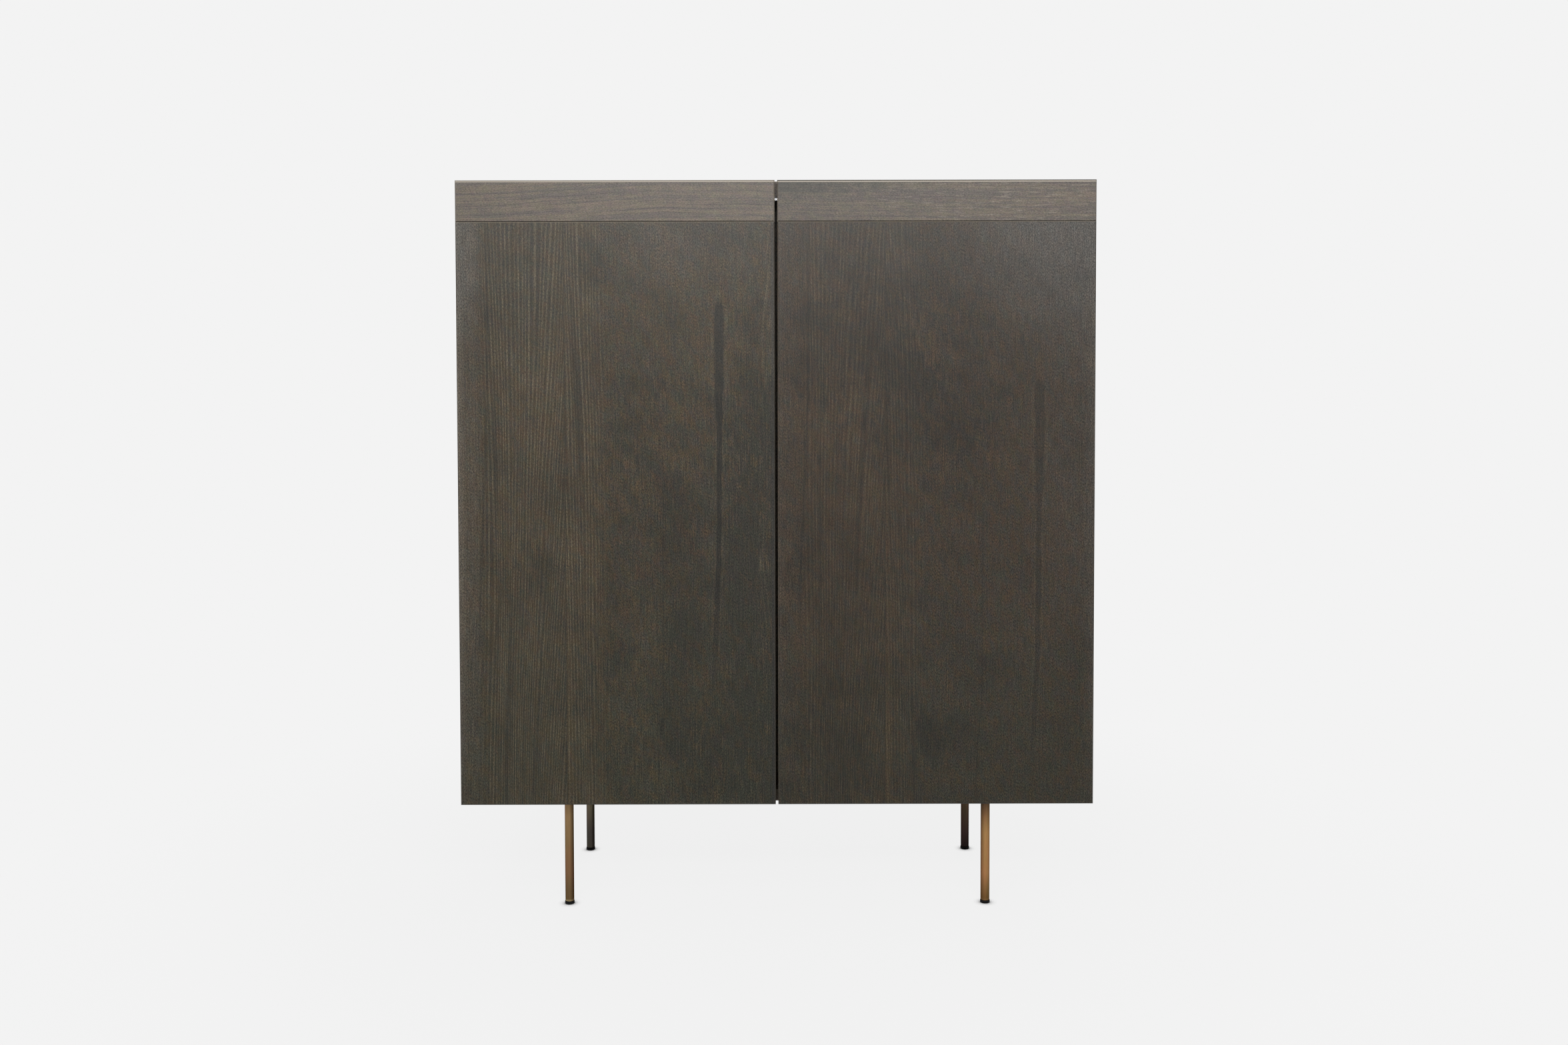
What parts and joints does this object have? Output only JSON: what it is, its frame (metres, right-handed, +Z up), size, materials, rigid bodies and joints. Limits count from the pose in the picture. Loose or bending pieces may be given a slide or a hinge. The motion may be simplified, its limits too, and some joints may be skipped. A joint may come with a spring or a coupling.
{
  "type": "bar cabinet",
  "caption": "Tall bar cabinet on slim round legs: handleless double doors hide shelves, a bar counter and a leaf that folds out of it.",
  "frame": {"origin": "on the floor, under the middle of the cabinet", "axes": "+Z up, +X to the right as seen from the front, doors face -Y"},
  "size_m": [1.2, 0.45, 1.395],
  "materials": {
    "oak_upright": "grey-brown stained oak veneer, upright grain, matt lacquer",
    "oak_level": "grey-brown stained oak veneer, level grain, matt lacquer",
    "oak_case": "grey-brown stained oak veneer, matt lacquer",
    "oak_inside": "grey-brown stained oak veneer, matt lacquer",
    "clear_glass": "clear toughened glass, eased front edge",
    "beech": "plain beech dowel",
    "burnished_brass": "dark burnished brass, satin",
    "black_plastic": "moulded black plastic",
    "zinc_steel": "zinc-plated steel",
    "nickel_steel": "nickel-plated steel",
    "white_plastic": "white moulded plastic"
  },
  "bodies": {
    "case": {"back_panel": "oak_inside", "bottom_panel": "oak_case", "case_dowels": "beech", "centre_divider": "oak_inside", "counter": "oak_inside", "glass_shelf": "clear_glass", "glass_shelf_pins": "zinc_steel", "hinge_arm_screws": "zinc_steel", "hinge_plate_screws": "zinc_steel", "latch_housing": "zinc_steel", "latch_screws": "zinc_steel", "leaf_hinge_counter_plates": "nickel_steel", "leaf_hinge_counter_screws": "zinc_steel", "left_hinge_arm_lower": "nickel_steel", "left_hinge_arm_middle": "nickel_steel", "left_hinge_arm_upper": "nickel_steel", "left_hinge_plates": "nickel_steel", "left_shelf_lower": "oak_inside", "left_shelf_middle": "oak_inside", "left_shelf_upper": "oak_inside", "left_side_panel": "oak_case", "leg_back_left": "burnished_brass", "leg_back_right": "burnished_brass", "leg_front_left": "burnished_brass", "leg_front_right": "burnished_brass", "leg_glides": "black_plastic", "leg_plate_screws": "zinc_steel", "leg_plates": "zinc_steel", "right_hinge_arm_lower": "nickel_steel", "right_hinge_arm_middle": "nickel_steel", "right_hinge_arm_upper": "nickel_steel", "right_hinge_plates": "nickel_steel", "right_shelf_lower": "oak_inside", "right_side_panel": "oak_case", "shelf_pins": "zinc_steel", "top_panel": "oak_case"},
    "left_door": {"left_door_band": "oak_level", "left_door_panel": "oak_upright", "left_hinge_cup_lower": "nickel_steel", "left_hinge_cup_middle": "nickel_steel", "left_hinge_cup_screws": "zinc_steel", "left_hinge_cup_upper": "nickel_steel", "left_hinge_pins": "nickel_steel", "left_strike_plate": "nickel_steel"},
    "right_door": {"right_door_band": "oak_level", "right_door_panel": "oak_upright", "right_hinge_cup_lower": "nickel_steel", "right_hinge_cup_middle": "nickel_steel", "right_hinge_cup_screws": "zinc_steel", "right_hinge_cup_upper": "nickel_steel", "right_hinge_pins": "nickel_steel", "right_strike_plate": "nickel_steel"},
    "leaf": {"fold_out_leaf": "oak_inside", "leaf_hinge_leaf_plates": "nickel_steel", "leaf_hinge_leaf_screws": "zinc_steel", "leaf_hinge_pins": "nickel_steel"},
    "left_plunger": {"left_latch_plunger": "white_plastic"},
    "right_plunger": {"right_latch_plunger": "white_plastic"}
  },
  "joints": [
    {"name": "left_door", "type": "hinge", "parent": "case", "child": "left_door", "pos_m": [-0.591, -0.215, 0.8], "axis": [0, 0, -1], "range_deg": [0, 110]},
    {"name": "right_door", "type": "hinge", "parent": "case", "child": "right_door", "pos_m": [0.591, -0.215, 0.8], "axis": [0, 0, 1], "range_deg": [0, 110]},
    {"name": "leaf_fold", "type": "hinge", "parent": "case", "child": "leaf", "pos_m": [0.2955, -0.141, 0.88], "axis": [1, 0, 0], "range_deg": [0, 180]},
    {"name": "left_plunger", "type": "slide", "parent": "case", "child": "left_plunger", "axis": [0, -1, 0], "range_m": [0, 0.03]},
    {"name": "right_plunger", "type": "slide", "parent": "case", "child": "right_plunger", "axis": [0, -1, 0], "range_m": [0, 0.03]}
  ],
  "couplings": [
    {"joint": "leaf_fold", "follows": "right_door", "ratio": 1.636},
    {"joint": "left_plunger", "follows": "left_door", "m_per_rad": 0.0156},
    {"joint": "right_plunger", "follows": "right_door", "m_per_rad": 0.0156}
  ]
}
